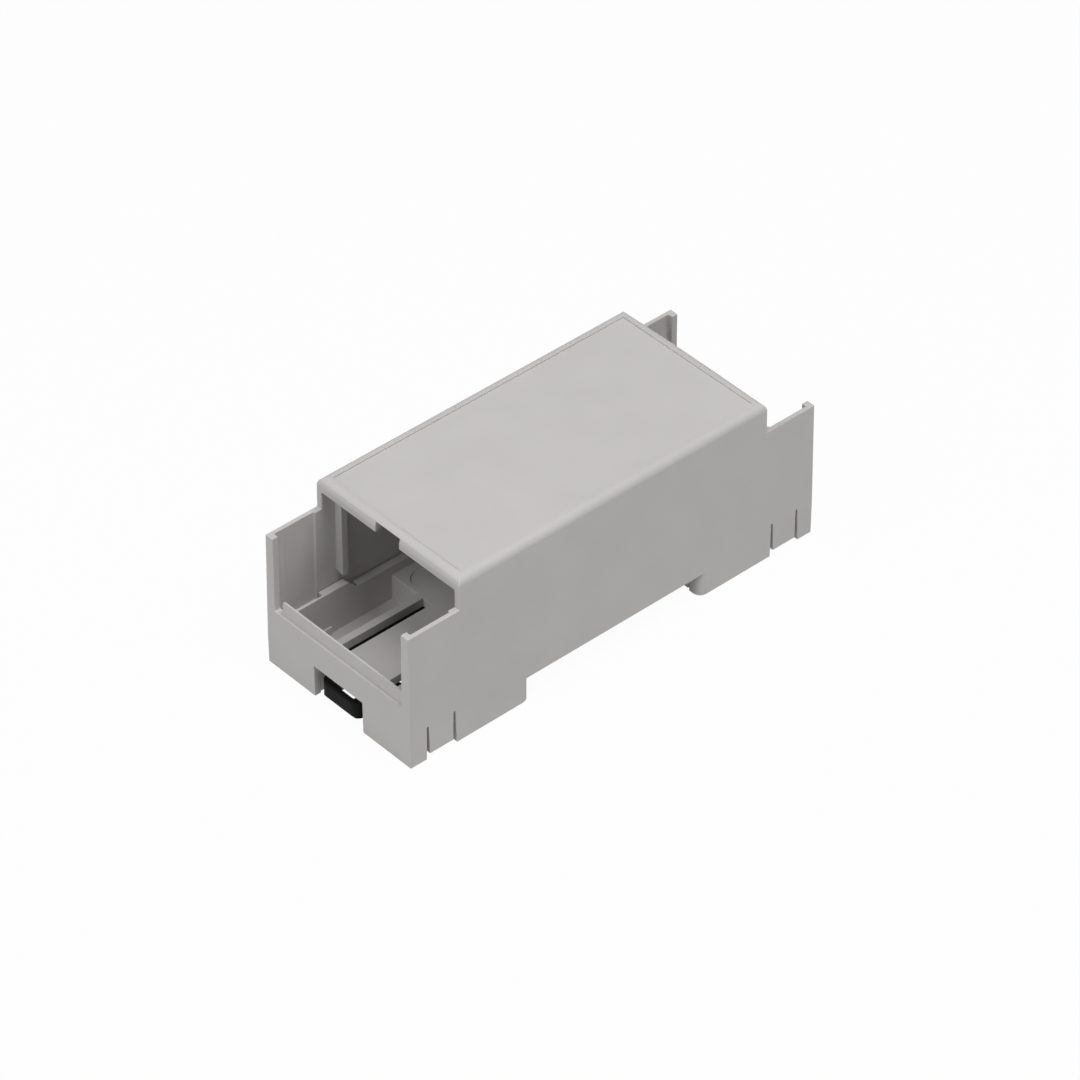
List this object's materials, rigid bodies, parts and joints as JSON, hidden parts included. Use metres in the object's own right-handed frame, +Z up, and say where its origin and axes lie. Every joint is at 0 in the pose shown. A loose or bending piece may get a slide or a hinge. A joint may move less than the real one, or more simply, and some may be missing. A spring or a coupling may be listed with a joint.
{
  "type": "din rail enclosure",
  "caption": "Light grey plastic module enclosure for a top-hat rail, with a raised front, open terminal bays at both ends and a black sliding rail latch.",
  "frame": {"origin": "middle of the footprint, on the plane the feet stand on", "axes": "+X along the body towards the end without the latch, +Y across the body, +Z up, out of the rail towards the front"},
  "size_m": [0.09, 0.0358, 0.0334],
  "materials": {
    "shell_plastic": "fine matt moulded surface, light grey",
    "base_plastic": "matt moulded surface, light grey",
    "latch_plastic": "satin moulded surface, black"
  },
  "bodies": {
    "housing": {"shell": "shell_plastic", "base": "base_plastic"},
    "latch": {"rail_latch": "latch_plastic"}
  },
  "joints": [
    {"name": "latch_slide", "type": "slide", "parent": "housing", "child": "latch", "axis": [-1, 0, 0], "range_m": [0, 0.003]}
  ]
}
